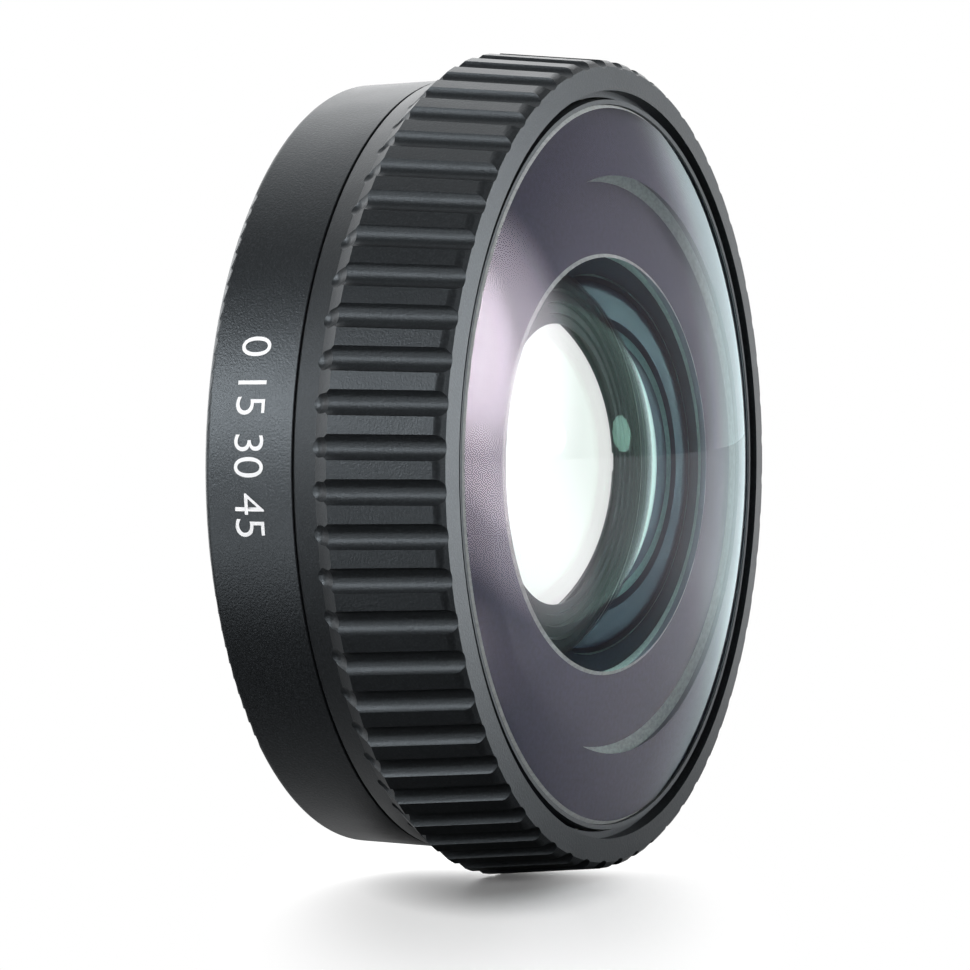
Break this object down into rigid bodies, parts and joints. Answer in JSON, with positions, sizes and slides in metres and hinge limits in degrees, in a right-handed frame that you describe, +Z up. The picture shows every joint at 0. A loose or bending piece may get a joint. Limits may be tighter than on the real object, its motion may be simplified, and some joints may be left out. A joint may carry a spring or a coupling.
{
  "type": "wide-angle conversion lens",
  "caption": "Round wide-angle conversion lens with a domed front glass, a fluted twist-lock ring and a short rear barrel with a socket.",
  "frame": {"origin": "centre of the rear mounting face, on the optical axis", "axes": "+Y along the optical axis towards the camera, so the front glass faces -Y; +Z up; +X to the right when looking along +Y"},
  "size_m": [0.042, 0.0169, 0.042],
  "materials": {
    "barrel_black": "black anodised, fine blasted",
    "ring_black": "black anodised, fine blasted",
    "cell_black": "black anodised, satin",
    "sleeve_black": "black anodised, satin",
    "baffle_black": "matt black anodised",
    "retainer_black": "black anodised, satin",
    "spacer_black": "matt black anodised",
    "front_glass": "polished, coated",
    "inner_glass": "polished, coated",
    "rear_glass": "polished, coated",
    "seal_rubber": "matt",
    "mask_film": "matt black film",
    "bearing_plastic": "natural slip plastic",
    "washer_plastic": "black slip plastic",
    "screw_steel": "blackened steel",
    "spring_steel": "spring steel",
    "bright_steel": "polished steel"
  },
  "bodies": {
    "lens_body": {"rear_barrel": "barrel_black", "lens_cell": "cell_black", "cell_screws": "screw_steel", "rear_face_seal": "seal_rubber", "cell_seal": "seal_rubber", "front_seal": "seal_rubber", "front_element": "front_glass", "front_mask": "mask_film", "stepped_baffle": "baffle_black", "baffle_retaining_ring": "retainer_black", "second_element": "inner_glass", "lens_spacer": "spacer_black", "third_element": "inner_glass", "fourth_element": "rear_glass", "rear_retaining_ring": "retainer_black", "front_bearing_ring": "bearing_plastic", "rear_bearing_ring": "bearing_plastic", "front_thrust_washer": "washer_plastic", "rear_thrust_washer": "washer_plastic", "detent_ball": "bright_steel", "detent_spring": "spring_steel"},
    "lock_ring": {"grip_ring": "ring_black", "lock_sleeve": "sleeve_black", "drive_pins": "bright_steel", "sleeve_snap_ring": "spring_steel"}
  },
  "joints": [
    {"name": "lock_turn", "type": "hinge", "parent": "lens_body", "child": "lock_ring", "pos_m": [0, -0.009, 0], "axis": [0, 1, 0], "range_deg": [0, 45]}
  ]
}
